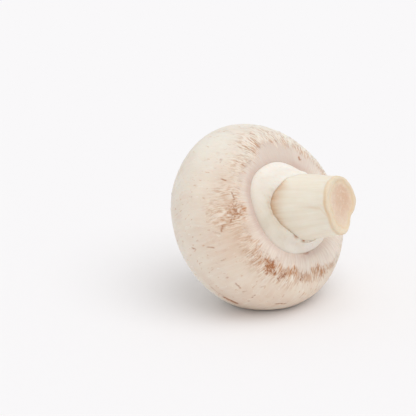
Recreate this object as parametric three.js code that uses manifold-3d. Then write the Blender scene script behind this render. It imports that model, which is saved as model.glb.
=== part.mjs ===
// A closed white button mushroom, trimmed at the foot and lying on the side of its cap.
// Millimetres, +Z up. The origin is the middle of the flattened spot on which the cap rests.
import * as THREE from "three";
import { mergeVertices, toCreasedNormals } from "three/addons/utils/BufferGeometryUtils.js";
import Module from "manifold-3d";

// Cap: a flattened dome below its widest ring and a rounded, inrolled margin above it.
// Heights here run along the cap's own axis, from the widest ring towards the stem.
const CAP_RADIUS = 25;
const DOME_DEPTH = 17.7;
const DOME_ROUNDNESS = 2.11;
const MARGIN_HEIGHT = 13;
const MARGIN_CREST_RADIUS = 14.2;
const MARGIN_ROUNDNESS = 1.93;
const MARGIN_SHIFT = new THREE.Vector2(2.1, -0.6);
const SHIFT_START = -4;
const OVAL = 0.024;
const OVAL_TURN = -47;

// Veil: the collar of skin that closes the gap between the cap's margin and the stem.
const GROOVE_RADIUS = 12.8;
const VEIL_SEAT_DEPTH = 5;
const VEIL_CREST_HEIGHT = 1.4;
const VEIL_CREST_RADIUS = 10.5;

// Stem: it grows out of the middle of the cap, leans over and ends in a clean cut.
const STEM_ROOT = new THREE.Vector3(0.9, -0.6, 3.5);
const STEM_NECK = new THREE.Vector3(2.6, -0.1, 14);
const STEM_LEAN = new THREE.Vector3(0.28, 0.14, 0.95).normalize();
const STEM_CLEAR_LENGTH = 13.2;
const STEM_RADII = [8.3, 8.6, 8.75, 8.8, 8.75, 8.5, 8.25, 8, 7.8, 7.45];
const STEM_OVAL = 0.02;

// How it lies: the cap's axis points along +X and up, and the flesh is flat where it rests.
const AXIS_ELEVATION = 31.7;
const REST_FLAT_DEPTH = 2.1;

const GAP = 0.3;
const ROUND_SEGMENTS = 72;
const STEM_SEGMENTS = 48;
const CREASE_ANGLE = 35;

const radians = THREE.MathUtils.degToRad;
const smooth = THREE.MathUtils.smoothstep;

// The colours of the three kinds of surface.
const looks = {
  cap: new THREE.MeshStandardMaterial({ color: 0xe9ddcf, roughness: 0.62, metalness: 0 }),
  veil: new THREE.MeshStandardMaterial({ color: 0xf2ebdf, roughness: 0.58, metalness: 0 }),
  stem: new THREE.MeshStandardMaterial({ color: 0xece0c8, roughness: 0.6, metalness: 0 }),
};

const wasm = await Module();
wasm.setup();

// Solids and geometries, each way.
function solidOf(geometry) {
  const bare = geometry.clone();
  bare.deleteAttribute("normal");
  bare.deleteAttribute("uv");
  const merged = mergeVertices(bare, 1e-4);
  const mesh = new wasm.Mesh({
    numProp: 3,
    vertProperties: new Float32Array(merged.attributes.position.array),
    triVerts: new Uint32Array(merged.index.array),
  });
  return new wasm.Manifold(mesh);
}

function geometryOf(solid) {
  const mesh = solid.getMesh();
  const geometry = new THREE.BufferGeometry();
  geometry.setAttribute("position", new THREE.BufferAttribute(mesh.vertProperties, 3));
  geometry.setIndex(new THREE.BufferAttribute(mesh.triVerts, 1));
  return toCreasedNormals(geometry, radians(CREASE_ANGLE));
}

// A closed body turned about the cap's axis, from a profile of (radius, height) points.
function turned(profile, segments) {
  const geometry = new THREE.LatheGeometry(profile, segments);
  geometry.rotateX(Math.PI / 2);
  return geometry;
}

function moveVertices(geometry, move) {
  const positions = geometry.attributes.position;
  const point = new THREE.Vector3();
  for (let i = 0; i < positions.count; i++) {
    point.fromBufferAttribute(positions, i);
    move(point);
    positions.setXYZ(i, point.x, point.y, point.z);
  }
  return geometry;
}

// The cap is slightly oval, and its margin sits a little towards the side it lies on.
function growUneven(point) {
  const angle = Math.atan2(point.y, point.x);
  const outward = smooth(Math.hypot(point.x, point.y), GROOVE_RADIUS, CAP_RADIUS);
  const swell = 1 + outward * OVAL * Math.cos(2 * (angle - radians(OVAL_TURN)));
  const shift = smooth(point.z, SHIFT_START, MARGIN_HEIGHT);
  point.x = point.x * swell + MARGIN_SHIFT.x * shift;
  point.y = point.y * swell + MARGIN_SHIFT.y * shift;
}

// A quarter of a superellipse between two radii, as [radius, height] steps.
function quarter(inner, outer, height, roundness, steps) {
  const points = [];
  for (let i = 0; i <= steps; i++) {
    const t = (i / steps) * (Math.PI / 2);
    const across = Math.pow(Math.sin(t), 2 / roundness);
    const along = Math.pow(Math.cos(t), 2 / roundness);
    points.push(new THREE.Vector2(inner + (outer - inner) * across, height * along));
  }
  return points;
}

function capBody() {
  const seatHeight = MARGIN_HEIGHT - VEIL_SEAT_DEPTH;
  const dome = quarter(0, CAP_RADIUS, -DOME_DEPTH, DOME_ROUNDNESS, 18);
  const margin = quarter(MARGIN_CREST_RADIUS, CAP_RADIUS, MARGIN_HEIGHT, MARGIN_ROUNDNESS, 12);
  const seat = [
    new THREE.Vector2(GROOVE_RADIUS + 0.9, MARGIN_HEIGHT - 0.15),
    new THREE.Vector2(GROOVE_RADIUS, MARGIN_HEIGHT - 0.8),
    new THREE.Vector2(GROOVE_RADIUS - 0.3, MARGIN_HEIGHT - 2),
    new THREE.Vector2(GROOVE_RADIUS - 0.5, seatHeight),
    new THREE.Vector2(0, seatHeight),
  ];
  return turned([...dome, ...margin.reverse().slice(1), ...seat], ROUND_SEGMENTS);
}

function veilBody() {
  const foot = MARGIN_HEIGHT - VEIL_SEAT_DEPTH + GAP;
  const wall = GROOVE_RADIUS - GAP;
  const crest = MARGIN_HEIGHT + VEIL_CREST_HEIGHT;
  const profile = [
    new THREE.Vector2(0, foot),
    new THREE.Vector2(wall - 0.5, foot),
    new THREE.Vector2(wall - 0.3, MARGIN_HEIGHT - 2),
    new THREE.Vector2(wall - 0.05, MARGIN_HEIGHT - 0.7),
    new THREE.Vector2(wall - 0.25, MARGIN_HEIGHT + 0.1),
    new THREE.Vector2(wall - 0.75, MARGIN_HEIGHT + 0.8),
    new THREE.Vector2(wall - 1.45, crest - 0.15),
    new THREE.Vector2(VEIL_CREST_RADIUS, crest),
    new THREE.Vector2(VEIL_CREST_RADIUS - 0.9, crest - 0.1),
    new THREE.Vector2(0, crest - 0.3),
  ];
  return turned(profile, ROUND_SEGMENTS);
}

// The stem's middle line, from its root inside the cap to the middle of the cut.
function stemLine() {
  const middle = STEM_NECK.clone().addScaledVector(STEM_LEAN, STEM_CLEAR_LENGTH / 2);
  const tip = STEM_NECK.clone().addScaledVector(STEM_LEAN, STEM_CLEAR_LENGTH);
  return new THREE.CatmullRomCurve3([STEM_ROOT, STEM_NECK, middle, tip]);
}

// The stem grown by an allowance all over, or by none: sections square to its middle line.
function stemBody(allowance) {
  const line = stemLine();
  const rings = STEM_RADII.length - 1;
  const profile = [new THREE.Vector2(0, 0)];
  for (const [i, radius] of STEM_RADII.entries()) {
    profile.push(new THREE.Vector2(radius + allowance, i / rings));
  }
  profile.push(new THREE.Vector2(0, 1));
  return moveVertices(turned(profile, STEM_SEGMENTS), (point) => {
    const share = THREE.MathUtils.clamp(point.z, 0, 1);
    const tangent = line.getTangentAt(share);
    const square = new THREE.Quaternion().setFromUnitVectors(new THREE.Vector3(0, 0, 1), tangent);
    const angle = Math.atan2(point.y, point.x);
    const swell = 1 + STEM_OVAL * Math.cos(2 * angle);
    const across = new THREE.Vector3(point.x * swell, point.y * swell, 0);
    point.copy(line.getPointAt(share)).add(across.applyQuaternion(square));
    if (share === 0) point.addScaledVector(tangent, -allowance);
  });
}

// A block below the cap that trims it flat where it rests, in the cap's own frame.
function restBlock(tilt, lowest) {
  const side = 4 * CAP_RADIUS;
  const block = new THREE.BoxGeometry(side, side, side);
  block.translate(0, 0, lowest + REST_FLAT_DEPTH - side / 2);
  block.applyQuaternion(tilt.clone().invert());
  return block;
}

// The tilt that brings the cap's axis from upright to pointing along +X and up.
const tilt = new THREE.Quaternion().setFromAxisAngle(
  new THREE.Vector3(0, 1, 0),
  radians(90 - AXIS_ELEVATION),
);
const wholeCap = moveVertices(capBody(), growUneven);
const lying = wholeCap.clone().applyQuaternion(tilt);
lying.computeBoundingBox();
const lowest = lying.boundingBox.min.z;
const rest = solidOf(restBlock(tilt, lowest));

const stemSpace = solidOf(stemBody(GAP));
const capSolid = solidOf(wholeCap).subtract(stemSpace).subtract(rest);
const veilSolid = solidOf(moveVertices(veilBody(), growUneven)).subtract(stemSpace);

// The rest spot's middle becomes the origin.
function middleOfFlat(solid) {
  const flat = new THREE.Box3();
  const mesh = solid.getMesh();
  for (let i = 0; i < mesh.numVert; i++) {
    const point = new THREE.Vector3().fromArray(mesh.vertProperties, i * 3).applyQuaternion(tilt);
    if (point.z < lowest + REST_FLAT_DEPTH + 0.01) flat.expandByPoint(point);
  }
  return flat.getCenter(new THREE.Vector3());
}

const mushroom = new THREE.Group();
mushroom.quaternion.copy(tilt);
mushroom.position.copy(middleOfFlat(capSolid)).negate();

for (const [name, geometry] of [
  ["cap", geometryOf(capSolid)],
  ["veil", geometryOf(veilSolid)],
  ["stem", stemBody(0)],
]) {
  const mesh = new THREE.Mesh(geometry, looks[name]);
  mesh.name = name;
  mushroom.add(mesh);
}

export default mushroom;
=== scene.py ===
"""A closed white button mushroom lying on the side of its cap, on a plain pale studio floor.

Shapes are worked out in millimetres in the cap's own frame, with +Z along the cap's axis towards the
stem and +X towards the surface that the cap lies on. They are turned into the part's frame, in metres,
when their meshes are built. A place on the cap is an angle round its axis and a distance along its
outline from the middle of the dome. A place on the stem is an angle and a distance from the neck, where
it leaves the cap.
"""
import math

import bpy
import numpy as np
from mathutils import Matrix, Vector


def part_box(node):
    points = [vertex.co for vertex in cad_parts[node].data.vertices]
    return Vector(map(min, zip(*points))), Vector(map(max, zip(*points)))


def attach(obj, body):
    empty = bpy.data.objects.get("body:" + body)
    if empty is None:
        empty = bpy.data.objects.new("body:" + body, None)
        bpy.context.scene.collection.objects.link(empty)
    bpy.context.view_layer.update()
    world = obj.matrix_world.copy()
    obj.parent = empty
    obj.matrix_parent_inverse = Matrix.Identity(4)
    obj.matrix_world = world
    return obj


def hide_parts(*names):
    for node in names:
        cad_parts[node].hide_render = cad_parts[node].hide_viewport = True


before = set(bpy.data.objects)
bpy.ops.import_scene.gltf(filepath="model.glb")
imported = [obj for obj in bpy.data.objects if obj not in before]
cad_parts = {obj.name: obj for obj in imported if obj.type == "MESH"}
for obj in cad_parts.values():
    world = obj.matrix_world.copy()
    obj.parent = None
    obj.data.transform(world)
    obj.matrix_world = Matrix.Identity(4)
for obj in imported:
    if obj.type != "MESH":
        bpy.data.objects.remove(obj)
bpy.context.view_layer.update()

MM = 0.001
TURN = 2 * math.pi

# How finely the cap's outline and the meshes are divided, and the radii at which noise runs round the
# stem, the veil and its lip.
OUTLINE_STEPS = 900
WALL_STEPS = 60
SEAT_STEPS = 200
CAP_AROUND = 840
STEM_AROUND = 320
VEIL_AROUND = 480
VEIL_STEPS = 6
STEM_GRAIN = 8
VEIL_GRAIN = 11
LIP_GRAIN = 9

# The cap's size and shape, as the CAD model has them.
CAP_RADIUS = 25.0
DOME_DEPTH = 17.7
DOME_ROUNDNESS = 2.11
MARGIN_HEIGHT = 13.0
MARGIN_CREST_RADIUS = 14.2
MARGIN_ROUNDNESS = 1.93
MARGIN_SHIFT = (2.1, -0.6)
SHIFT_START = -4.0
OVAL = 0.024
OVAL_TURN = math.radians(-47)
GROOVE_RADIUS = 12.8
SEAT_RADIUS = GROOVE_RADIUS - 0.5
SEAT_HEIGHT = 8.0
AXIS_ELEVATION = math.radians(31.7)

# How wide and how deep the margin rolls in at the groove, how far past the widest ring the dome's skin
# ends, how thick it is, and how close to the floor flesh is pressed flat.
GROOVE_ROLL = (1.6, 0.35)
SKIN_PAST_RING = 15.4
SKIN_THICKNESS = 0.12
REST_BLEND = 0.7

# Two flatter stretches: (mm deep, degrees round the cap, radians across, mm past the ring, mm across).
FLAT_STRETCHES = [(0.4, 140, 1.2, 13, 16), (0.35, 20, 1.0, 12, 14)]

# Noise in layers: (how strong, mm across, seed).
FIBRE_WANDER = [(0.05, 9, 5), (0.02, 4, 6)]
CAP_WAVES = [(0.16, 12, 1), (0.06, 5, 2)]
CUT_GRAIN = [(0.04, 0.6, 33), (0.1, 2.2, 34)]
LIP_TEARS = [(0.14, 1.6, 41), (0.1, 0.6, 42)]

# The teeth at the edge of the dome's skin, and the depth of nicks and of bruises with their torn skin.
TOOTH_LENGTH = 1.8
TOOTH_WIDTH = 0.7
NICK_DEPTH = 0.1
BRUISE_DEPTH = 0.1
TORN_RELIEF = 0.14

# How strongly the brown fringe shows round the cap: (degrees, strength).
FRINGE = [(0, 1), (15, 1), (30, 0.3), (60, 0.2), (100, 0.35), (135, 0.6), (160, 0.6), (185, 0.6),
          (205, 0.75), (225, 0.28), (245, 0.42), (258, 0.6), (273, 0.25), (288, 0.6), (300, 0.95),
          (320, 0.9), (340, 0.9)]

# How far the fringe reaches over the dome: (degrees, mm).
FRINGE_WIDTH = [(0, 3), (60, 3), (130, 6), (160, 8), (185, 7.5), (205, 5), (222, 5), (240, 8), (258, 10),
                (275, 5), (292, 5.5), (315, 4.5), (345, 3.5)]

# How much further or less far than usual the dome's skin reaches: (degrees, mm).
SKIN_REACH = [(0, 0.2), (15, -1.2), (30, -2.4), (60, -1.5), (130, -1), (150, -1.2), (168, -1),
              (185, -0.2), (205, 1.3), (218, 1.5), (235, 1.0), (258, 0.8), (277, 0.3), (300, -0.2),
              (315, 0.2), (345, 0.3)]

# How strongly painted shade darkens the groove beside the veil: (degrees, strength).
GROOVE_SHADE = [(0, 0.7), (30, 0.4), (60, 0.3), (100, 0.4), (125, 0.6), (140, 0.9), (158, 0.3), (185, 0.3),
               (210, 0.6), (230, 0.9), (250, 0.9), (280, 0.8), (310, 0.6), (335, 0.35), (347, 0.6)]

# The nicks in the skin that stand out, brown and a little sunken, each from one place to another:
# (degrees, distance along, degrees, distance along, width, strength).
NICKS = [
    (310, 30, 318, 30.8, 1.5, 1), (299, 29.6, 309, 30.3, 1.1, 0.5), (333, 38.9, 340, 39.5, 0.7, 0.9),
    (302, 38.4, 306, 38, 0.6, 0.7), (316, 37.6, 316, 39.2, 0.6, 0.7), (296, 37.4, 296, 37.7, 0.8, 0.7),
    (273, 32.6, 275, 33.9, 0.6, 0.7), (275, 37.7, 276, 39.3, 0.6, 0.6), (261, 46.4, 263, 45.7, 0.6, 0.7),
    (264, 43.8, 268, 43.1, 0.6, 0.7), (231, 44.8, 232, 46.2, 0.6, 0.7), (241, 47.8, 247, 48.5, 0.6, 0.8),
    (253, 48.2, 259, 48.6, 1.3, 0.5), (178, 43.9, 177, 44.9, 0.8, 0.7), (301, 48.9, 304, 48.5, 0.7, 0.7),
    (308, 49.4, 309, 48.7, 1, 1), (309, 48.1, 310, 47.6, 1, 1), (315, 47.3, 315, 47.6, 1, 1),
    (319, 46.6, 321, 46.4, 0.7, 0.9), (323, 48.3, 323, 47.6, 1, 1), (340, 47.6, 342, 48.4, 1.1, 0.8),
    (137, 50.4, 136, 50.8, 0.9, 0.9), (136, 54.7, 124, 54.7, 1.1, 0.9), (347, 54, 356, 54, 1, 0.7),
]

# Smaller nicks: how many, and the ranges of their measures.
SMALL_NICKS = 75
SMALL_NICK_SEED = 9
SMALL_NICK_LENGTH = (0.3, 1.8)
SMALL_NICK_WIDTH = (0.4, 0.8)
SMALL_NICK_STRENGTH = (0.25, 0.55)

# Bruises, where the skin is torn and brown: (degrees, distance along, size across, strength).
BRUISES = [(309, 48.4, 4.4, 0.8), (321, 47.8, 3.0, 0.5), (341, 48.2, 2.6, 0.45), (297, 47.5, 6, 0.25),
           (255, 48.0, 4.4, 0.55)]

# The warm side of the dome, in degrees, and patches of other tones: (degrees, radians across).
WARM_SIDE = 315
# The cool patch is painted shade, greyer and cooler, on the margin's upper side.
COOL_SHADE_PATCH = (165, 1.9)
SHADED_MARGIN = (265, 1.2)
SHADED_RING = (320, 1.0)
SHADED_VEIL = (278, 2.0)

# The groove round the veil is uneven: (degrees round the cap, mm further from the middle).
GROOVE_REACH = [(0, -0.75), (14, -0.65), (30, -0.4), (60, -0.5), (90, -0.7), (126, -0.8), (140, -1.0),
                (150, -0.8), (163, -0.45), (174, -0.2), (189, 0.1), (204, 0.6), (217, 1.1), (236, 1.3),
                (255, 0.75), (282, 0.6), (314, 0.4), (329, 0), (344, -0.5)]

# Small scales of torn skin: how many there are, the share of them near the edge of the skin, how many
# sections each has, how far its tip lifts, the ranges of its size, and how askew it lies in degrees.
FLAKES = 760
FLAKE_SEED = 7
FLAKES_NEAR_EDGE = 0.94
FLAKE_STATIONS = 6
FLAKE_LIFT = 0.08
FLAKE_LENGTH = (0.8, 2.4)
FLAKE_WIDTH = (0.18, 0.36)
FLAKE_LEAN = 14

# The stem's middle line, and its radius at places along it.
STEM_ROOT = np.array([0.9, -0.6, 3.5])
STEM_NECK = np.array([2.6, -0.1, 14.0])
STEM_LEAN = np.array([0.28, 0.14, 0.95])
STEM_LEAN /= np.linalg.norm(STEM_LEAN)
STEM_BURIED = 10.6
STEM_CLEAR = 13.2
STEM_PLACES = [-STEM_BURIED, -6, -2, 0, 4, 8, 11, 12.6]
STEM_RADII = [8.3, 8.6, 8.7, 8.65, 8.3, 7.9, 7.6, 7.5]

# The cut's outline is uneven, with one notch: (degrees round the stem, share of its radius).
CUT_OUTLINE = [(0, 1.05), (22, 0.93), (45, 0.79), (62, 0.92), (80, 1.07), (98, 1.07), (125, 1.01),
               (165, 0.96), (200, 0.97), (250, 0.96), (285, 0.88), (315, 0.98), (342, 1.07)]

# From the end of the stem's side over the rim to the middle of the cut: shares of the stem's radius,
# heights counted from the top of the rim, and how far the way is.
RIM_DEPTH = 0.9
RIM_SHARES = [1, 0.995, 0.97, 0.92, 0.85, 0.77, 0.55, 0.25, 0]
RIM_HEIGHTS = [-RIM_DEPTH, -0.45, -0.12, 0, -0.08, -0.3, -0.5, -0.55, -0.55]
SIDE_END = STEM_CLEAR - RIM_DEPTH
CUT_LENGTH = 8.3

# The cut slopes a little, and its darker core lies away from its middle.
CUT_TILT = 0.45
CORE_SHIFT = (-1.6, 2.6)
CORE_WIDTH = 7.5

# Heights of the veil's section that are the same all round, the gap between its free lip and the stem,
# and where the lip is most ragged: (degrees, radians across).
VEIL_FOOT = 8.4
INNER_HEIGHT = 11.5
SHOULDER_HEIGHT = 13.9
LIP_GAP = -0.02
RAGGED_LIP = (355, 1.0)

# The height of the veil's lip on the stem's side: (degrees, mm along the cap's axis).
LIP_HEIGHT = [(0, 14.7), (30, 14.5), (60, 14.9), (90, 15.9), (120, 17.4), (145, 18.8), (166, 19.4),
              (180, 18.8), (195, 17.6), (218, 16.2), (234, 14.6), (248, 13.7), (268, 13.7), (288, 14.3),
              (305, 15.1), (322, 15.5), (341, 15.1)]

# How far the lip has grown together with the stem, from 0 to 1: (degrees, share).
ATTACHED = [(0, 0.75), (30, 0.7), (60, 0.8), (90, 0.95), (120, 1), (150, 1), (170, 0.9), (186, 0.5),
            (202, 0.1), (216, 0), (250, 0), (290, 0), (315, 0.1), (328, 0.4), (342, 0.7)]

# Brown spots on the lip: (degrees, degrees across).
LIP_STAINS = [(322, 10), (341, 6)]

# The painted shade under the lip, with some browning at the crease, is strongest on the stem at this
# angle, in degrees.
LIP_SHADE_DEEPEST_AT = 246

# Where the lip, the groove and the stains lie on the veil's section: (point of the section, points wide).
LIP_ON_SECTION = (8.4, 1.6)
GROOVE_ON_SECTION = (2.3, 1.6)
STAINS_ON_SECTION = (7.1, 2.4)

# How glossy the flesh is, and how light spreads in it: its share, its colours and its reach in mm.
GLOSS = 0.35
SOFTNESS = 0.15
SOFT_COLORS = (1.0, 0.55, 0.35)
SOFT_REACH = 0.8

# The photograph's view: where the camera stands, in metres, and where it sees the middle of the cap.
PHOTO_SIZE = 416
CAP_SEEN_AT = (257.7, 214.8)
CAMERA_AZIMUTH = math.radians(40.3)
CAMERA_ELEVATION = math.radians(20)
CAMERA_DISTANCE = 0.55
FOCAL_PIXELS = 2102
SENSOR_WIDTH = 36
CLIP_START, CLIP_END = 0.01, 20

# The studio: its floor, in metres, the even white surround and one large soft lamp, whose direction is
# given as right, up and back of the view.
FLOOR_REACH = 6.0
FLOOR_COLOR = (0.9, 0.89, 0.9, 1)
FLOOR_ROUGHNESS = 0.9
SURROUND_STRENGTH = 0.76
LAMP_TOWARD = (0.3, 0.75, 0.5)
LAMP_STRENGTH = 1.0
LAMP_SPREAD = math.radians(60)


def ease(value, low, high):
    """0 up to low, 1 from high, and a smooth step between them."""
    share = np.clip((value - low) / (high - low), 0, 1)
    return share * share * (3 - 2 * share)


def bump(value, middle, width):
    """A smooth bump of height 1, about width across."""
    return np.exp(-(((value - middle) / (0.5 * width)) ** 2))


def apart(angle, other):
    """How far one angle is from another, from -pi to pi."""
    return (angle - other + math.pi) % TURN - math.pi


def facing(angle, degrees, width):
    """A smooth bump of height 1 round a direction in degrees, about width radians across."""
    return bump(apart(angle, math.radians(degrees)), 0, width)


def through(value, places, heights):
    """A smooth curve through points at rising places, level at its two ends."""
    places, heights = np.asarray(places, float), np.asarray(heights, float)
    slopes = np.gradient(heights, places)
    slopes[[0, -1]] = 0
    value = np.clip(value, places[0], places[-1])
    i = np.clip(np.searchsorted(places, value, side="right") - 1, 0, len(places) - 2)
    span = places[i + 1] - places[i]
    t = (value - places[i]) / span
    start = (1 + 2 * t) * (1 - t) ** 2 * heights[i] + t * (1 - t) ** 2 * span * slopes[i]
    end = t * t * (3 - 2 * t) * heights[i + 1] + t * t * (t - 1) * span * slopes[i + 1]
    return start + end


def round_through(angle, points):
    """A smooth curve through (degrees, value) points all the way round."""
    degrees, values = np.array(points, float).T
    degrees = np.concatenate([degrees - 360, degrees, degrees + 360])
    return through(np.degrees(angle) % 360, degrees, np.tile(values, 3))


def rough(points, size, seed):
    """Smooth noise from -1 to 1, with features about size across."""
    cells = 32
    values = np.random.default_rng(seed).uniform(-1, 1, (cells, cells, cells))
    scaled = np.asarray(points) / size
    base = np.floor(scaled).astype(int)
    part = scaled - base
    part = part * part * (3 - 2 * part)
    total = np.zeros(scaled.shape[:-1])
    for corner in np.ndindex(2, 2, 2):
        i, j, k = np.moveaxis((base + corner) % cells, -1, 0)
        total += np.prod(np.where(corner, part, 1 - part), axis=-1) * values[i, j, k]
    return total


def layered(points, layers):
    """The sum of layers of noise."""
    return sum(strength * rough(points, size, seed) for strength, size, seed in layers)


def grain_of(angle, along, radius, stretch):
    """A place on a round piece, in millimetres, with the lengthwise direction shortened."""
    return np.stack([radius * np.cos(angle), radius * np.sin(angle), along / stretch], axis=-1)


# The cap's outline from the middle of the dome, over the widest ring and the margin, into the groove.
def superellipse(inner, outer, height, roundness, t):
    """Radii and heights on a quarter of a superellipse, as t goes from 0 to a quarter turn."""
    across = inner + (outer - inner) * np.sin(t) ** (2 / roundness)
    return across, height * np.cos(t) ** (2 / roundness)


def cap_outline():
    """Fine points on the outline: their distances along it, radii and heights."""
    rising = np.linspace(0, math.pi / 2, OUTLINE_STEPS)
    dome = superellipse(0, CAP_RADIUS, -DOME_DEPTH, DOME_ROUNDNESS, rising)
    margin = superellipse(MARGIN_CREST_RADIUS, CAP_RADIUS, MARGIN_HEIGHT, MARGIN_ROUNDNESS, rising[::-1])
    wide, deep = GROOVE_ROLL
    roll = (MARGIN_CREST_RADIUS - wide * np.sin(rising),
            MARGIN_HEIGHT - deep * (1 - np.cos(rising)) ** 1.3)
    wall = (np.linspace(roll[0][-1], SEAT_RADIUS, WALL_STEPS),
            np.linspace(roll[1][-1], SEAT_HEIGHT, WALL_STEPS))
    seat = np.linspace(SEAT_RADIUS, 0, SEAT_STEPS), np.full(SEAT_STEPS, SEAT_HEIGHT)
    parts = (dome, margin, roll, wall, seat)
    radius = np.concatenate([[0], *(part[0][1:] for part in parts)])
    height = np.concatenate([[-DOME_DEPTH], *(part[1][1:] for part in parts)])
    along = np.append(0, np.cumsum(np.hypot(np.diff(radius), np.diff(height))))
    return along, radius, height


OUT_ALONG, OUT_RADIUS, OUT_HEIGHT = cap_outline()
CREST_INDEX = 2 * (OUTLINE_STEPS - 1)
CREST = OUT_ALONG[CREST_INDEX]
RING = np.interp(0, OUT_HEIGHT[:CREST_INDEX + 1], OUT_ALONG[:CREST_INDEX + 1])
SKIN_EDGE = RING + SKIN_PAST_RING
CAP_END = OUT_ALONG[-1]


def radius_at(along):
    """The cap's radius, before it grows uneven."""
    return np.interp(along, OUT_ALONG, OUT_RADIUS)


def grow_uneven(x, y, z):
    """The cap is slightly oval, and its margin sits a little towards the side it lies on."""
    angle = np.arctan2(y, x)
    swell = 1 + ease(np.hypot(x, y), GROOVE_RADIUS, CAP_RADIUS) * OVAL * np.cos(2 * (angle - OVAL_TURN))
    shift = ease(z, SHIFT_START, MARGIN_HEIGHT)
    return np.stack([x * swell + MARGIN_SHIFT[0] * shift, y * swell + MARGIN_SHIFT[1] * shift, z], axis=-1)


def smooth_cap(angle, along):
    """Places on the cap without its fine relief."""
    radius = radius_at(along)
    height = np.interp(along, OUT_ALONG, OUT_HEIGHT)
    inner = ease(along, RING + 9, CREST) * ease(radius, 0, GROOVE_RADIUS)
    radius = radius + round_through(angle, GROOVE_REACH) * inner
    return grow_uneven(radius * np.cos(angle), radius * np.sin(angle), height)


def outward(surface, angle, along, step=0.02):
    """The outward normals of a round surface given as a function of angle and distance along it."""
    across = surface(angle + step / 5, along) - surface(angle - step / 5, along)
    down = surface(angle, along + step) - surface(angle, along - step)
    normal = np.cross(across, down)
    length = np.linalg.norm(normal, axis=-1, keepdims=True)
    return np.where(length > 1e-9, normal / np.maximum(length, 1e-9), [0, 0, -1])


def warped(angle, along):
    """The angle of the fibre that runs through each place. Fibres wander a little on their way."""
    place = grain_of(angle, along, CAP_RADIUS, 1)
    return angle + layered(place, FIBRE_WANDER)


def skin_edge(angle):
    """Where the dome's skin ends on the smooth margin, in teeth that point at the stem."""
    ring = grain_of(angle, 0 * angle, MARGIN_CREST_RADIUS + 4, 1)
    teeth = TOOTH_LENGTH * np.maximum(rough(ring, TOOTH_WIDTH, 12), 0) ** 0.8
    uneven = 0.7 * rough(ring, 4.5, 11) + teeth - 0.6 + 0.5 * rough(ring, 0.35, 13)
    return SKIN_EDGE + round_through(angle, SKIN_REACH) + uneven


def small_nicks():
    """Smaller nicks, strewn from near the widest ring to the edge of the dome's skin."""
    draw = np.random.default_rng(SMALL_NICK_SEED)
    first = draw.uniform(0, 360, SMALL_NICKS)
    start = draw.uniform(RING - 3, SKIN_EDGE + 1, SMALL_NICKS)
    length = draw.uniform(*SMALL_NICK_LENGTH, SMALL_NICKS)
    lean = 0.7 * draw.normal(size=SMALL_NICKS)
    width = draw.uniform(*SMALL_NICK_WIDTH, SMALL_NICKS)
    strength = draw.uniform(*SMALL_NICK_STRENGTH, SMALL_NICKS)
    second = first + np.degrees(length * np.sin(lean) / radius_at(start))
    return list(zip(first, start, second, start + length * np.cos(lean), width, strength))


def nick_mask(angle, along):
    """How near each place is to a nick: the nick's strength at its middle, nothing at its edges."""
    place = grain_of(angle, along, CAP_RADIUS, 1)
    mask = np.zeros(np.broadcast(angle, along).shape)
    bend = 0.3 * rough(place, 1.3, 23)
    for first, start, second, end, width, strength in NICKS + small_nicks():
        radius = radius_at(0.5 * (start + end))
        aside = apart(angle, math.radians(first)) * radius + bend
        onward = along - start + bend
        across, length = math.radians(second - first) * radius, end - start
        share = np.clip((aside * across + onward * length) / (across**2 + length**2), 0, 1)
        reach = np.hypot(aside - share * across, onward - share * length) / (0.75 * width)
        mask = np.maximum(mask, strength * (1 - reach))
    return mask


def cap_masks(angle, along):
    """Shares from 0 to 1 of the dome's skin, fringe, brown tips, other marks and painted shade in the
    groove.
    """
    fibre = warped(angle, along)
    edge = skin_edge(fibre)
    skin = 1 - ease(along, edge - 0.9, edge + 0.5)
    ring = grain_of(fibre, along, CAP_RADIUS, 4)
    strength = round_through(angle, FRINGE) * (0.75 + 0.7 * rough(ring, 3.0, 21))
    start = SKIN_EDGE - round_through(angle, FRINGE_WIDTH)
    fringe = strength * ease(along, start - 2, start + 4) * (1 - ease(along, edge - 0.3, edge + 1.5))
    tips = strength * ease(along, edge - 3.4, edge - 0.5) * (1 - ease(along, edge - 0.3, edge + 0.7))
    bruise = np.zeros(np.broadcast(angle, along).shape)
    for degrees, place, size, bruised in BRUISES:
        aside = apart(angle, math.radians(degrees)) * radius_at(place)
        reach = np.hypot(aside, along - place) / (0.5 * size) + 0.5 * rough(ring * [1, 1, 2], 0.8, 22)
        bruise = np.maximum(bruise, bruised * (1 - ease(reach, 0.5, 1.3)))
    # Painted shade in the groove beside the veil.
    groove = round_through(angle, GROOVE_SHADE) * bump(along, CREST + 0.9, 2.4)
    masks = {"skin": skin, "fringe": fringe, "tips": tips, "bruise": bruise,
             "nick": nick_mask(angle, along), "groove": groove}
    return {name: np.clip(mask, 0, 1) for name, mask in masks.items()}


def cap_relief(angle, along):
    """How far the real surface stands out of the smooth cap, in millimetres."""
    place = smooth_cap(angle, along)
    masks = cap_masks(angle, along)
    skin, fringe, bruise = masks["skin"], masks["fringe"], masks["bruise"]
    fibre = warped(angle, along)
    threads = (0.02 + 0.05 * fringe) * rough(grain_of(fibre, along, CAP_RADIUS, 8), 0.9, 3)
    threads += (0.012 + 0.03 * fringe) * rough(grain_of(fibre, along, CAP_RADIUS, 7), 0.45, 7)
    pleats = 0.035 * rough(grain_of(angle, along, MARGIN_CREST_RADIUS, 7), 0.7, 4)
    visible = 1 - ease(along, CREST + 0.5, CREST + 2)
    dome = SKIN_THICKNESS + threads * ease(along, 4, 14)
    relief = skin * dome + (1 - skin) * pleats + layered(place, CAP_WAVES)
    flatter = sum(depth * facing(angle, degrees, wide) * bump(along, RING + past, long)
                  for depth, degrees, wide, past, long in FLAT_STRETCHES)
    torn = TORN_RELIEF * bruise * rough(place, 0.8, 24)
    sunken = relief + torn - BRUISE_DEPTH * bruise - NICK_DEPTH * masks["nick"]
    return (sunken - flatter) * visible


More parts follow.
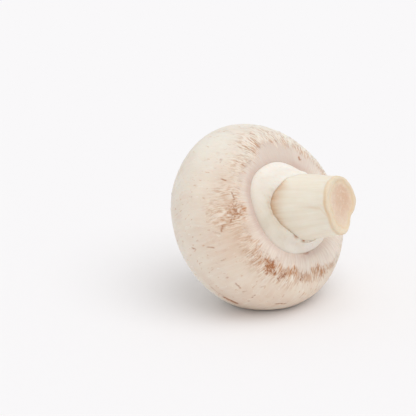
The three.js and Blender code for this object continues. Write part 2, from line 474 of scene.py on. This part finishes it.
def real_cap(angle, along, lift=0.0):
    """Places on the cap with its relief, or lifted off it by some millimetres."""
    base = smooth_cap(angle, along)
    height = cap_relief(angle, along) + lift
    return base + outward(smooth_cap, angle, along) * height[..., None]


# From the cap's frame to the part's frame: tilted over, and placed where the CAD cap is.
TILT = np.array(Matrix.Rotation(math.pi / 2 - AXIS_ELEVATION, 3, "Y"))


def cap_origin():
    """Where the cap's own origin lies in the part's frame, from the CAD cap's box."""
    angle, along = np.meshgrid(np.linspace(0, TURN, 720), np.linspace(0, CAP_END, 600))
    points = smooth_cap(angle, along) @ TILT.T
    low, high = points.min(axis=(0, 1)), points.max(axis=(0, 1))
    cad_low, cad_high = (np.array(corner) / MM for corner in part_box("cap"))
    middle = (cad_low + cad_high) / 2 - (low + high) / 2
    return np.array([middle[0], middle[1], cad_high[2] - high[2]])


ORIGIN = cap_origin()


def settle(points):
    """Points in the part's frame, with the flesh pressed flat where it rests."""
    placed = points @ TILT.T + ORIGIN
    height = placed[..., 2]
    near = np.maximum(REST_BLEND - np.abs(height), 0) / REST_BLEND
    placed[..., 2] = np.maximum(height, 0) + near * near * REST_BLEND / 4
    return placed


# Meshes: a round shell is a grid of rings, closed by a middle point at each end.
VECTORS = ("place", "grain")


def make_piece(name, points, faces, values, material, slot, *nodes, smooth=True):
    """One visual piece: a mesh that carries named values at its points."""
    mesh = bpy.data.meshes.new(name)
    placed = settle(points.reshape(-1, 3)) * MM
    mesh.from_pydata(placed.tolist(), [], faces)
    for key, value in values.items():
        kind, field = ("FLOAT_VECTOR", "vector") if key in VECTORS else ("FLOAT", "value")
        mesh.attributes.new(key, kind, "POINT").data.foreach_set(field, value.ravel())
    if smooth:
        mesh.shade_smooth()
    mesh.materials.append(material)
    made = bpy.data.objects.new(name, mesh)
    bpy.context.collection.objects.link(made)
    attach(made, "root")
    for node in nodes:
        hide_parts(node)


def shell_faces(rings, around):
    """Quads between rings that follow each other, and triangles to the two points after the rings."""
    first = np.arange(around)
    following = (first + 1) % around
    last = (rings - 1) * around
    faces = []
    for low in range(0, last, around):
        high = low + around
        faces += np.stack([low + first, low + following, high + following, high + first], axis=1).tolist()
    start, end = np.full(around, rings * around), np.full(around, rings * around + 1)
    faces += np.stack([start, following, first], axis=1).tolist()
    faces += np.stack([end, last + first, last + following], axis=1).tolist()
    return faces


def rows_between(start, end, spacing):
    """Distances along a piece, spaced as the spacing function says."""
    fine = np.linspace(start, end, 4000)
    count = np.append(0, np.cumsum(np.diff(fine) / spacing(fine[1:])))
    return np.interp(np.linspace(0, count[-1], int(count[-1]) + 1), count, fine)


def flake_points(angle, place, length, width, lean):
    """Small scales of torn skin: each rooted towards the dome's middle, with its tip lifted."""
    stations = np.linspace(0, 1, FLAKE_STATIONS)[:, None]
    sides, heights = np.array([-1.0, 0.0, 1.0, 0.0]), np.array([0.0, 0.16, 0.0, -0.16])
    angle, place, length, width, lean = (value[:, None, None] for value in
                                         (angle, place, length, width, lean))
    middle = (stations - 0.5) * length
    half = 0.5 * width * np.sin(np.pi * (0.12 + 0.88 * stations)) ** 0.8 * sides
    along = middle * np.cos(lean) + half * np.sin(lean) + place
    aside = middle * np.sin(lean) + half * np.cos(lean)
    turned = angle + aside / radius_at(place)
    rise = FLAKE_LIFT * (stations**2 - 0.1) + heights * width * np.sin(np.pi * (0.05 + 0.9 * stations))
    return turned, along, rise


def flake_faces():
    """The faces of one scale: four sides round each pair of stations, and its two ends."""
    faces = [(4 * i + j, 4 * i + (j + 1) % 4, 4 * i + 4 + (j + 1) % 4, 4 * i + 4 + j)
             for i in range(FLAKE_STATIONS - 1) for j in range(4)]
    last = 4 * (FLAKE_STATIONS - 1)
    return np.array(faces + [(3, 2, 1, 0), (last, last + 1, last + 2, last + 3)])


def cap_values(angle, along):
    """What the cap's material reads at each point."""
    # The dome grows darker and tanner towards its lower side, near the floor.
    warm = ease(np.cos(angle - math.radians(WARM_SIDE)), -1, 1) * ease(along, 18, RING + 8)
    # Painted shade, greyer and cooler, on the margin's upper side.
    cool_shade = facing(angle, *COOL_SHADE_PATCH) + 0 * along
    shaded = facing(angle, *SHADED_MARGIN) * bump(along, SKIN_EDGE - 3, 9)
    shaded += 0.7 * facing(angle, *SHADED_RING) * bump(along, RING - 3.5, 5)
    grain = grain_of(warped(angle, along), along, CAP_RADIUS, 8)
    return {**cap_masks(angle, along), "warm": warm, "cool_shade": cool_shade, "shaded": shaded,
            "place": smooth_cap(angle, along), "grain": grain}


def make_cap():
    shown = rows_between(0.25, CREST + 2.4, lambda place: 1.2 - 0.88 * ease(place, RING - 9, RING + 3))
    hidden = CREST + np.array([3.3, 4.5, 9, 14])
    rows = np.append(shown, hidden)
    angle, along = np.meshgrid(np.linspace(0, TURN, CAP_AROUND, endpoint=False), rows)
    ends = smooth_cap(np.zeros(2), np.array([0.0, CAP_END]))
    points = np.concatenate([real_cap(angle, along).reshape(-1, 3), ends])
    both = np.append(angle.ravel(), [0, 0])
    reach = np.append(along.ravel(), [0, CAP_END])
    values = {"scale": np.zeros(len(points)), **cap_values(both, reach)}
    make_piece("mushroom_cap", points, shell_faces(len(rows), CAP_AROUND), values,
               cap_skin("cap_skin", SOFTNESS), "cap_skin", "cap")


def make_scales():
    """Small torn scales of skin, thickest where the fringe is strong."""
    draw = np.random.default_rng(FLAKE_SEED)
    tries = 6 * FLAKES
    angle = draw.uniform(0, TURN, tries)
    reach, wide, fringe = (round_through(angle, points) for points in (SKIN_REACH, FRINGE_WIDTH, FRINGE))
    near = draw.random(tries) < FLAKES_NEAR_EDGE
    place = np.where(near, SKIN_EDGE + reach - 0.2 - 0.5 * wide * np.abs(draw.normal(size=tries)),
                     RING + draw.uniform(-14, 10, tries))
    fringe = np.where(near, fringe, 0.3)
    strength = draw.uniform(-0.9, 0.9, tries) * (0.4 + 0.6 * fringe)
    kept = np.flatnonzero(draw.random(tries) < 0.15 + fringe)[:FLAKES]
    length = draw.uniform(*FLAKE_LENGTH, FLAKES)
    width = draw.uniform(*FLAKE_WIDTH, FLAKES)
    lean = np.radians(FLAKE_LEAN * draw.normal(size=FLAKES))
    turned, along, rise = flake_points(angle[kept], place[kept], length, width, lean)
    tip = strength[kept][:, None, None] * ease(np.linspace(0, 1, FLAKE_STATIONS), 0.1, 0.9)[:, None]
    faces = flake_faces() + 4 * FLAKE_STATIONS * np.arange(FLAKES)[:, None, None]
    values = {"scale": np.broadcast_to(tip, turned.shape), **cap_values(turned, along)}
    make_piece("mushroom_scales", real_cap(turned, along, rise), faces.reshape(-1, 4).tolist(), values,
               cap_skin("scale_skin", 0), "cap_skin", smooth=False)


# The stem: a leaning stalk with lengthwise fibres, cut off nearly square and dried at its edge.
def stem_basis():
    """Two directions square to the stem, from which angles round it are counted."""
    turn = np.array(Vector((0, 0, 1)).rotation_difference(Vector(STEM_LEAN)).to_matrix())
    return turn[:, 0], turn[:, 1]


STEM_ACROSS, STEM_ASIDE = stem_basis()


def stem_middle(along):
    """The stem's middle line: straight past the neck, and bent back to its root inside the cap."""
    back = np.minimum(along, 0)[..., None]
    bend = (STEM_ROOT - STEM_NECK + STEM_LEAN * STEM_BURIED) / STEM_BURIED**2
    return STEM_NECK + STEM_LEAN * along[..., None] + bend * back * back


def stem_radius(angle, along):
    """The smooth stem's radius: nearly round where it leaves the cap, uneven where it is cut."""
    neck = 1 + 0.018 * np.cos(2 * angle + 0.6) + 0.012 * np.cos(3 * angle + 2)
    cut = round_through(angle, CUT_OUTLINE)
    return through(along, STEM_PLACES, STEM_RADII) * (neck + (cut - neck) * ease(along, 4, SIDE_END))


def smooth_stem(angle, along):
    """Places on the stem without its relief. along runs up the side, and then inwards over the cut."""
    over = np.maximum(along - SIDE_END, 0)
    rim_steps = np.hypot(np.diff(RIM_HEIGHTS), np.diff(RIM_SHARES) * STEM_RADII[-1])
    rim_way = np.append(0, np.cumsum(rim_steps))
    place = np.minimum(along, SIDE_END)
    share = through(over, rim_way, RIM_SHARES)
    radius = stem_radius(angle, place) * share
    tilt = 0.5 * CUT_TILT * (1 - share * np.sin(angle)) * ease(along, 6, SIDE_END)
    place = place + tilt + through(over, rim_way, RIM_HEIGHTS) + RIM_DEPTH
    ring = np.cos(angle)[..., None] * STEM_ACROSS + np.sin(angle)[..., None] * STEM_ASIDE
    return stem_middle(place) + ring * radius[..., None]


def stem_masks(angle, along):
    """Shares from 0 to 1: rim and cut together, the cut inside the rim, and the dried lines."""
    ring = grain_of(angle, 0 * angle, STEM_GRAIN, 1)
    wander = 0.3 * rough(ring, 2, 36)
    cut = ease(along + wander, SIDE_END - 0.3, SIDE_END + 0.6)
    rind = 1.5 * ease(-np.sin(angle), -0.3, 1)
    inner = ease(along + wander - rind, SIDE_END + 2.0, SIDE_END + 3.6)
    dried = bump(along + wander, SIDE_END + 0.45, 0.6) * (0.65 + 0.6 * rough(ring, 3, 37))
    dried += 0.4 * bump(along + wander - rind, SIDE_END + 2.1, 0.7)
    line_angle = np.radians(261 + 4 * ease(along, 8, 11) + 20 * ease(along, 10.8, 12.6))
    line = bump(apart(angle, line_angle), 0, 0.11) * ease(along, 6, 10)
    dried += 0.4 * line * (1 - ease(along, SIDE_END, SIDE_END + 0.4))
    return cut, inner, dried


def stem_relief(angle, along):
    """How far the real surface stands out of the smooth stem, in millimetres."""
    place = smooth_stem(angle, along)
    cut, _, dried = stem_masks(angle, along)
    ridges = 0.1 * rough(grain_of(angle, along, STEM_GRAIN, 9), 1.7, 31)
    threads = 0.03 * rough(grain_of(angle, along, STEM_GRAIN, 10), 0.6, 32)
    side = ridges + threads + 0.12 * rough(place, 5, 35)
    return (1 - cut) * side + cut * layered(place, CUT_GRAIN) - 0.05 * dried


def real_stem(angle, along):
    """Places on the stem with its relief."""
    relief = stem_relief(angle, along)[..., None]
    return smooth_stem(angle, along) + outward(smooth_stem, angle, along) * relief


def make_stem():
    last = SIDE_END + CUT_LENGTH
    rows = rows_between(-STEM_BURIED, last, lambda place: np.where(place < SIDE_END - 0.5, 0.3, 0.16))
    angle, along = np.meshgrid(np.linspace(0, TURN, STEM_AROUND, endpoint=False), rows)
    points = real_stem(angle, along)
    ends = np.stack([stem_middle(np.array([-STEM_BURIED]))[0], points[-1].mean(axis=0)])
    both = np.append(angle.ravel(), [0, 0])
    reach = np.append(along.ravel(), [-STEM_BURIED, last])
    place = np.concatenate([smooth_stem(angle, along).reshape(-1, 3), ends])
    core_middle = ends[1] + CORE_SHIFT[0] * STEM_ACROSS + CORE_SHIFT[1] * STEM_ASIDE
    core = bump(np.linalg.norm(place - core_middle, axis=1), 0, CORE_WIDTH)
    cut, inner, dried = (mask.ravel() for mask in stem_masks(angle, along))
    # The stem's lip value is painted shade under the veil's lip, with some browning at the crease.
    values = {"cut": np.append(cut, [0, 1]), "inner": np.append(inner, [0, 1]),
              "dried": np.append(dried, [0, 0]), "core": core, "lip": lip_shade(place),
              "place": place, "grain": grain_of(both, reach, STEM_GRAIN, 10)}
    make_piece("mushroom_stem", np.concatenate([points.reshape(-1, 3), ends]),
               shell_faces(len(rows), STEM_AROUND), values, stem_flesh(), "stem_flesh", "stem")


def lip_shade(points):
    """How strongly places on the stem get painted shade, with some browning at the crease, under the
    veil's free lip, from 0 to 1.
    """
    gap = points - veil_centre(points[..., 2])
    angle = np.arctan2(gap[..., 1], gap[..., 0])
    past = points[..., 2] - round_through(angle, LIP_HEIGHT) + 9 * round_through(angle, ATTACHED)
    fading = 2 + 5 * facing(angle, LIP_SHADE_DEEPEST_AT, 1.3)
    return (1 - ease(past, -0.5, fading)) * (0.55 + 0.45 * facing(angle, LIP_SHADE_DEEPEST_AT, 2.0))


# The veil: a rolled collar between the margin and the stem, with a torn lip on the stem's side.
def veil_centre(height):
    """The middle of the veil at a height, which follows the margin."""
    shift = ease(height, SHIFT_START, MARGIN_HEIGHT)
    return np.stack([MARGIN_SHIFT[0] * shift, MARGIN_SHIFT[1] * shift, height], axis=-1)


def stem_edge(angle, height):
    """How far the stem's side is from the veil's middle at a height, found in a few steps."""
    centre = veil_centre(height)
    ray = np.stack([np.cos(angle), np.sin(angle), 0 * angle], axis=-1)
    distance = np.full(angle.shape, STEM_RADII[3])
    for _ in range(6):
        point = centre + ray * distance[..., None]
        along = (point - STEM_NECK) @ STEM_LEAN
        spoke = point - stem_middle(along)
        turned = np.arctan2(spoke @ STEM_ASIDE, spoke @ STEM_ACROSS)
        distance = distance + stem_radius(turned, along) - np.linalg.norm(spoke, axis=-1)
    return distance


def groove_edge(angle):
    """How far the veil's wall in the groove is from the veil's middle."""
    return MARGIN_CREST_RADIUS - GROOVE_ROLL[0] + 0.05 + round_through(angle, GROOVE_REACH)


def veil_section(angle):
    """Points round the collar's section at each angle: (distance from the middle, height).

    They go up the groove, over the shoulder and the crest and down to the lip, along the stem where the
    two have grown together, and then down the stem's side to the foot.
    """
    hold = round_through(angle, ATTACHED)
    ring = grain_of(angle, 0 * angle, LIP_GRAIN, 1)
    torn = layered(ring, LIP_TEARS) * (1 + 1.8 * facing(angle, *RAGGED_LIP))
    level = 0 * angle
    wall = groove_edge(angle)
    lip_height = round_through(angle, LIP_HEIGHT) + torn
    gap = (LIP_GAP + 0.5 * torn) * (1 - hold) - 0.15 * hold
    lip = stem_edge(angle, lip_height) + gap
    under = stem_edge(angle, lip_height - 0.7) - 0.05
    inner = stem_edge(angle, level + INNER_HEIGHT) + 0.1
    foot = stem_edge(angle, level + VEIL_FOOT) + 0.1
    shoulder = wall - 1.7
    crest = 0.5 * (14.0 + lip_height) + np.maximum(0.55 - 0.12 * (lip_height - 13.6), 0.05)
    drop = hold * np.clip((lip_height - 13.8) / 3, 0.1, 1)
    low_skirt = stem_edge(angle, lip_height - 1.6) + 0.7
    high_skirt = stem_edge(angle, lip_height - 0.6) + 0.22
    points = [
        (wall - 0.6, level + VEIL_FOOT), (wall - 0.3, level + 10.5), (wall + 0.1, level + 12.4),
        (wall - 0.15, level + 13.05), (shoulder, level + SHOULDER_HEIGHT),
        (0.5 * (shoulder + lip + 0.5), crest),
        (lip + 0.75 + (low_skirt - lip - 0.75) * hold, lip_height + 0.25 - 1.85 * drop),
        (lip + 0.2 + (high_skirt - lip - 0.2) * hold, lip_height + 0.12 - 0.72 * drop),
        (lip, lip_height - 0.25 + 0.15 * hold), (under, lip_height - 0.75),
        (inner, level + INNER_HEIGHT), (foot, level + VEIL_FOOT),
    ]
    return np.stack([np.stack(point, axis=-1) for point in points], axis=-2)


def looped(points, steps):
    """A closed smooth curve through the points on the second to last axis."""
    before, after, beyond = (np.roll(points, shift, axis=-2) for shift in (1, -1, -2))
    parts = []
    for t in np.arange(steps) / steps:
        weights = (-t + 2 * t**2 - t**3, 2 - 5 * t**2 + 3 * t**3, t + 4 * t**2 - 3 * t**3, t**3 - t**2)
        four = zip(weights, (before, points, after, beyond))
        parts.append(sum(weight * place for weight, place in four) / 2)
    return np.stack(parts, axis=-2).reshape(*points.shape[:-2], -1, points.shape[-1])


def section_normals(points):
    """The outward normals of a grid that is closed both ways."""
    across = np.roll(points, -1, axis=0) - np.roll(points, 1, axis=0)
    onward = np.roll(points, -1, axis=1) - np.roll(points, 1, axis=1)
    normal = np.cross(across, onward)
    return normal / np.maximum(np.linalg.norm(normal, axis=-1, keepdims=True), 1e-9)


def closed_faces(around, rows):
    """Quads over a grid that is closed both ways."""
    index = np.arange(around * rows).reshape(around, rows)
    right, up = np.roll(index, -1, axis=0), np.roll(index, -1, axis=1)
    corner = np.roll(right, -1, axis=1)
    return np.stack([index, right, corner, up], axis=-1).reshape(-1, 4).tolist()


def make_veil():
    angle = np.linspace(0, TURN, VEIL_AROUND, endpoint=False)
    section = looped(veil_section(angle), VEIL_STEPS)
    rows = section.shape[1]
    distance, height = section[..., 0], section[..., 1]
    turned = angle[:, None] + 0 * distance
    points = veil_centre(height)
    points[..., 0] += distance * np.cos(turned)
    points[..., 1] += distance * np.sin(turned)
    shown = ease(height, 12.4, 13.4)
    waves = 0.1 * rough(points, 4, 43) + 0.035 * rough(grain_of(turned, height, VEIL_GRAIN, 5), 0.8, 44)
    points = points + section_normals(points) * (waves * shown)[..., None]
    step = np.arange(rows) / VEIL_STEPS
    stain = sum(bump(np.degrees(apart(turned, math.radians(degrees))), 0, across)
                for degrees, across in LIP_STAINS)
    # The groove value is painted shade on the veil's side of the groove.
    values = {"lip": bump(step, *LIP_ON_SECTION) * (1 - round_through(angle, ATTACHED))[:, None],
              "groove": bump(step, *GROOVE_ON_SECTION) * round_through(angle, GROOVE_SHADE)[:, None],
              "low": facing(turned, *SHADED_VEIL), "stain": stain * bump(step, *STAINS_ON_SECTION),
              "place": points, "grain": grain_of(turned, distance, VEIL_GRAIN, 4)}
    make_piece("mushroom_veil", points, closed_faces(VEIL_AROUND, rows), values, veil_skin(),
               "veil_skin", "veil")


# Materials.
class Nodes:
    """A material's node tree, with short calls for the nodes used here."""

    def __init__(self, name):
        self.material = bpy.data.materials.new(name)
        self.material.use_nodes = True
        self.tree = self.material.node_tree

    def put(self, socket, value):
        """Links another node's output to a socket, or sets the socket to a number or colour."""
        if isinstance(value, bpy.types.NodeSocket):
            self.tree.links.new(value, socket)
        else:
            socket.default_value = value

    def node(self, kind, output, inputs, **settings):
        """An output of a new node, once its settings and inputs are set or linked."""
        node = self.tree.nodes.new("ShaderNode" + kind)
        for name, value in settings.items():
            setattr(node, name, value)
        for name, value in inputs.items():
            self.put(node.inputs[name], value)
        return node.outputs[output]

    def value(self, name):
        """A value that the mesh carries."""
        return self.node("Attribute", "Vector" if name in VECTORS else "Fac", {}, attribute_name=name)

    def noise(self, vector, size, detail=3.0, roughness=0.55):
        """Noise from 0 to 1, with features about size across in millimetres."""
        inputs = {"Vector": vector, "Scale": 1 / size, "Detail": detail, "Roughness": roughness}
        return self.node("TexNoise", "Fac", inputs)

    def shortened(self, vector, amount):
        """The same places for noise whose features are that many times shorter lengthwise."""
        return self.node("VectorMath", "Vector", {0: vector, 1: (1, 1, amount)}, operation="MULTIPLY")

    def ramp(self, value, low, high, start=0.0, end=1.0):
        """start up to low, end from high, and a smooth step between them."""
        inputs = {"Value": value, "From Min": low, "From Max": high, "To Min": start, "To Max": end}
        return self.node("MapRange", "Result", inputs, interpolation_type="SMOOTHSTEP")

    def times(self, first, second):
        """The product of two values, held between 0 and 1."""
        return self.node("Math", 0, {0: first, 1: second}, operation="MULTIPLY", use_clamp=True)

    def mix(self, share, first, second):
        """The first colour, or a share of the second over it."""
        return self.node("Mix", "Result", {"Factor": share, "A": first, "B": second}, data_type="RGBA")

    def over(self, base, share, name):
        """A share of one of the tones over a colour."""
        return self.mix(share, base, tone(name))

    def clouded(self, clouds, name):
        """One of the tones with clouds of its clouded tone in it."""
        return self.mix(clouds, tone(name), tone("clouded " + name))

    def shade(self, values):
        """The material, once its shader's sockets are set or linked."""
        for name, value in values.items():
            self.put(self.tree.nodes["Principled BSDF"].inputs[name], value)
        return self.material

    def finish(self, color, roughness, height, relief, soft):
        """The material of flesh with a fine relief, some millimetres deep."""
        inputs = {"Strength": 1.0, "Distance": relief * MM, "Height": height}
        return self.shade({
            "Base Color": color, "Roughness": roughness, "Normal": self.node("Bump", "Normal", inputs),
            "Specular IOR Level": GLOSS, "Subsurface Weight": soft, "Subsurface Radius": SOFT_COLORS,
            "Subsurface Scale": SOFT_REACH * MM,
        })


# Colours as they look on a screen, from 0 to 255.
TONES = {
    "dome": (236, 231, 220), "clouded dome": (231, 222, 210),
    "warm dome": (234, 218, 200), "clouded warm dome": (228, 207, 188),
    "pale streak": (243, 236, 224), "blot": (214, 186, 160),
    "pale speck": (245, 238, 228), "brown speck": (200, 150, 110), "shaded dome": (214, 186, 162),
    # The cool shade margin tone is painted shade.
    "margin": (232, 219, 206), "clouded margin": (224, 208, 194), "cool shade margin": (212, 195, 183),
    "pale margin hair": (240, 231, 221), "dark margin hair": (212, 192, 180),
    "fringe": (218, 182, 152), "pale stroke": (244, 234, 221), "brown stroke": (186, 132, 92),
    "tooth tip": (190, 134, 92), "pale bruise": (238, 222, 204), "brown bruise": (164, 104, 64),
    "nick": (166, 106, 66), "brown scale": (188, 132, 88), "pale scale": (244, 235, 222),
    # Painted shade in the groove beside the veil, on the cap.
    "groove": (200, 171, 160),
    "veil": (245, 239, 231), "clouded veil": (241, 233, 222),
    "low veil": (222, 212, 197), "clouded low veil": (214, 203, 186),
    "veil blot": (220, 194, 164), "torn lip": (216, 164, 114), "lip stain": (172, 112, 66),
    # Painted shade in the groove, on the veil.
    "veil groove shade": (208, 184, 170),
    "stem": (241, 234, 219), "stem streak": (235, 225, 207), "clouded stem": (236, 222, 200),
    # The stem lip shade tone is painted shade under the veil's lip, with some browning at the crease.
    "stem lip shade": (208, 168, 130), "rim": (231, 216, 192), "clouded rim": (225, 206, 179),
    "cut": (229, 206, 185), "clouded cut": (223, 196, 173), "core": (210, 170, 138),
    "pale cut": (234, 214, 194), "dried": (222, 176, 124),
}


def tone(name):
    """One of the tones above as a linear colour."""
    shares = (value / 255 for value in TONES[name])
    linear = (share / 12.92 if share <= 0.04045 else ((share + 0.055) / 1.055) ** 2.4 for share in shares)
    return (*linear, 1)


def dome_color(look, place, grain, clouds, streaks):
    """The dome's skin: pale, darker and tanner towards its lower side near the floor, with streaks, blots
    and specks.
    """
    blots = look.ramp(look.noise(place, 2.6, 3.0, 0.6), 0.56, 0.75)
    specks = look.noise(look.shortened(grain, 4.0), 0.75, 2.0, 0.5)
    pale = look.clouded(clouds, "dome")
    darker_tanner = look.clouded(clouds, "warm dome")
    base = look.mix(look.value("warm"), pale, darker_tanner)
    base = look.over(base, look.ramp(streaks, 0.4, 0.75, end=0.4), "pale streak")
    base = look.over(base, look.times(blots, 0.3), "blot")
    base = look.over(base, look.ramp(specks, 0.34, 0.27, end=0.6), "pale speck")
    return look.over(base, look.ramp(specks, 0.64, 0.74, end=0.55), "brown speck")


def margin_color(look, clouds, hairs):
    """The smooth margin: fine pale and dark hairs, with painted shade, greyer and cooler, on its upper
    side.
    """
    base = look.clouded(clouds, "margin")
    base = look.over(base, look.ramp(hairs, 0.45, 0.65, end=0.5), "pale margin hair")
    base = look.over(base, look.ramp(hairs, 0.48, 0.32, end=0.4), "dark margin hair")
    return look.over(base, look.times(look.value("cool_shade"), 0.75), "cool shade margin")


def with_fringe(look, base, grain, hairs):
    """Brown and pale strokes at the edge of the dome's skin, and the brown tips of its teeth."""
    fringe = look.value("fringe")
    strokes = look.noise(look.shortened(grain, 1.9), 0.44, 2.0, 0.5)
    base = look.over(base, look.times(fringe, look.ramp(hairs, 0.36, 0.62, 0.1, 0.6)), "fringe")
    base = look.over(base, look.times(fringe, look.ramp(strokes, 0.5, 0.4)), "pale stroke")
    base = look.over(base, look.times(fringe, look.ramp(strokes, 0.5, 0.62)), "brown stroke")
    tipped = look.times(look.ramp(look.value("tips"), 0.1, 1.0), look.ramp(hairs, 0.4, 0.6, 0.15, 0.95))
    return look.over(base, tipped, "tooth tip")


def with_marks(look, base, place):
    """Bruises, nicks, the tips of small scales, and painted shade in the groove."""
    grit = look.noise(place, 0.6, 2.0, 0.6)
    bruise, scale = look.value("bruise"), look.value("scale")
    base = look.over(base, look.times(bruise, look.ramp(grit, 0.47, 0.38, end=0.7)), "pale bruise")
    base = look.over(base, look.times(bruise, look.ramp(grit, 0.47, 0.58, 0.25, 1.0)), "brown bruise")
    dug = look.ramp(look.times(look.value("nick"), look.ramp(grit, 0.3, 0.6, 0.7, 1.2)), 0.1, 1.0)
    base = look.over(base, dug, "nick")
    base = look.over(base, look.ramp(scale, 0, 1, end=0.8), "brown scale")
    base = look.over(base, look.ramp(scale, 0, -0.8, end=0.7), "pale scale")
    # Painted shade in the groove beside the veil.
    return look.over(base, look.times(look.value("groove"), 0.7), "groove")


def cap_skin(name, soft):
    """The cap's skin. soft is the share of light that spreads in it."""
    look = Nodes(name)
    place, grain = look.value("place"), look.value("grain")
    clouds = look.ramp(look.noise(place, 8.0, 3.0), 0.35, 0.68)
    streaks = look.noise(grain, 1.2, 4.0, 0.65)
    hairs = look.noise(grain, 0.6, 3.0, 0.6)
    dome = dome_color(look, place, grain, clouds, streaks)
    base = look.mix(look.value("skin"), margin_color(look, clouds, hairs), dome)
    base = look.over(base, look.times(look.value("shaded"), 0.7), "shaded dome")
    base = with_marks(look, with_fringe(look, base, grain, hairs), place)
    roughness = look.ramp(streaks, 0.3, 0.7, 0.58, 0.72)
    return look.finish(base, roughness, look.noise(grain, 0.45, 4.0, 0.65), 0.07, soft)


def veil_skin():
    """The veil: pale, with painted shade on its low side and in the groove, and a brown torn lip."""
    look = Nodes("veil_skin")
    place, grain = look.value("place"), look.value("grain")
    clouds = look.ramp(look.noise(place, 4.0, 3.0), 0.35, 0.7)
    base = look.clouded(clouds, "veil")
    base = look.mix(look.value("low"), base, look.clouded(clouds, "low veil"))
    base = look.over(base, look.ramp(look.noise(place, 1.0, 3.0, 0.6), 0.58, 0.74, end=0.25), "veil blot")
    torn = look.times(look.value("lip"), look.ramp(look.noise(place, 1.4, 3.0), 0.38, 0.62, 0.3, 1.0))
    base = look.over(base, look.times(torn, 0.65), "torn lip")
    base = look.over(base, look.times(look.value("stain"), 0.9), "lip stain")
    # Painted shade in the groove.
    base = look.over(base, look.times(look.value("groove"), 0.5), "veil groove shade")
    roughness = look.ramp(clouds, 0.0, 1.0, 0.55, 0.65)
    return look.finish(base, roughness, look.noise(grain, 0.5, 4.0), 0.05, SOFTNESS)


def cut_color(look, place, clouds):
    """The cut: a paler rim round spongy flesh with a darker core."""
    rim = look.clouded(clouds, "rim")
    flesh = look.clouded(look.ramp(look.noise(place, 3.2, 3.0), 0.35, 0.65), "cut")
    flesh = look.over(flesh, look.times(look.value("core"), 0.6), "core")
    flesh = look.over(flesh, look.ramp(look.noise(place, 0.9, 3.0, 0.6), 0.5, 0.68, end=0.5), "pale cut")
    return look.mix(look.value("inner"), rim, flesh)


def stem_flesh():
    """The stem: pale streaks, painted shade with some browning under the lip, and the cut."""
    look = Nodes("stem_flesh")
    place, grain, lip = look.value("place"), look.value("grain"), look.value("lip")
    streaks = look.noise(grain, 1.1, 4.0, 0.6)
    clouds = look.ramp(look.noise(place, 4.0, 3.0), 0.35, 0.7)
    base = look.mix(look.ramp(streaks, 0.35, 0.75), tone("stem"), tone("stem streak"))
    base = look.over(base, look.times(clouds, 0.3), "clouded stem")
    # Painted shade under the veil's lip, with some browning at the crease.
    shade = look.times(look.times(lip, lip), look.ramp(streaks, 0.3, 0.6, 0.6, 0.9))
    base = look.over(base, shade, "stem lip shade")
    base = look.mix(look.value("cut"), base, cut_color(look, place, clouds))
    base = look.over(base, look.times(look.value("dried"), 0.6), "dried")
    roughness = look.ramp(streaks, 0.3, 0.7, 0.55, 0.7)
    return look.finish(base, roughness, look.noise(grain, 0.5, 4.0), 0.06, SOFTNESS)


# The studio: a wide pale floor, an even white surround and one large soft lamp.
def make_floor():
    mesh = bpy.data.meshes.new("floor")
    corners = [(across * FLOOR_REACH, away * FLOOR_REACH, 0)
               for across, away in ((-1, -1), (1, -1), (1, 1), (-1, 1))]
    mesh.from_pydata(corners, [], [(0, 1, 2, 3)])
    mesh.materials.append(Nodes("floor").shade({
        "Base Color": FLOOR_COLOR, "Roughness": FLOOR_ROUGHNESS, "Specular IOR Level": 0.0,
    }))
    floor = bpy.data.objects.new("floor", mesh)
    bpy.context.collection.objects.link(floor)


def view_axes():
    """Right, up and back of a camera that looks at the cap's middle from the photograph's side."""
    flat = math.cos(CAMERA_ELEVATION)
    back = Vector((math.sin(CAMERA_AZIMUTH) * flat, -math.cos(CAMERA_AZIMUTH) * flat,
                   math.sin(CAMERA_ELEVATION)))
    right = Vector((0, 0, 1)).cross(back).normalized()
    return right, back.cross(right), back


def make_camera():
    right, up, back = view_axes()
    basis = Matrix((right, up, back)).transposed()
    aside = math.atan((CAP_SEEN_AT[0] - PHOTO_SIZE / 2) / FOCAL_PIXELS)
    below = math.atan((CAP_SEEN_AT[1] - PHOTO_SIZE / 2) / FOCAL_PIXELS)
    aim = Matrix.Rotation(aside, 3, "Y") @ Matrix.Rotation(below, 3, "X")
    data = bpy.data.cameras.new("camera")
    data.sensor_width = SENSOR_WIDTH
    data.lens = SENSOR_WIDTH * FOCAL_PIXELS / PHOTO_SIZE
    data.clip_start, data.clip_end = CLIP_START, CLIP_END
    camera = bpy.data.objects.new("camera", data)
    where = Vector(ORIGIN * MM) + back * CAMERA_DISTANCE
    camera.matrix_world = Matrix.Translation(where) @ (basis @ aim).to_4x4()
    bpy.context.collection.objects.link(camera)
    bpy.context.scene.camera = camera


def make_lamp():
    data = bpy.data.lights.new("sun", "SUN")
    data.energy = LAMP_STRENGTH
    data.angle = LAMP_SPREAD
    sun = bpy.data.objects.new("sun", data)
    offset = sum((axis * amount for axis, amount in zip(view_axes(), LAMP_TOWARD)), Vector())
    sun.rotation_euler = offset.to_track_quat("Z", "Y").to_euler()
    bpy.context.collection.objects.link(sun)


def make_world():
    world = bpy.data.worlds.new("surround")
    world.use_nodes = True
    background = world.node_tree.nodes["Background"]
    background.inputs["Color"].default_value = (1, 1, 1, 1)
    background.inputs["Strength"].default_value = SURROUND_STRENGTH
    bpy.context.scene.world = world
    bpy.context.scene.view_settings.view_transform = "Standard"


make_camera()
make_world()
make_lamp()
make_floor()
make_cap()
make_scales()
make_veil()
make_stem()
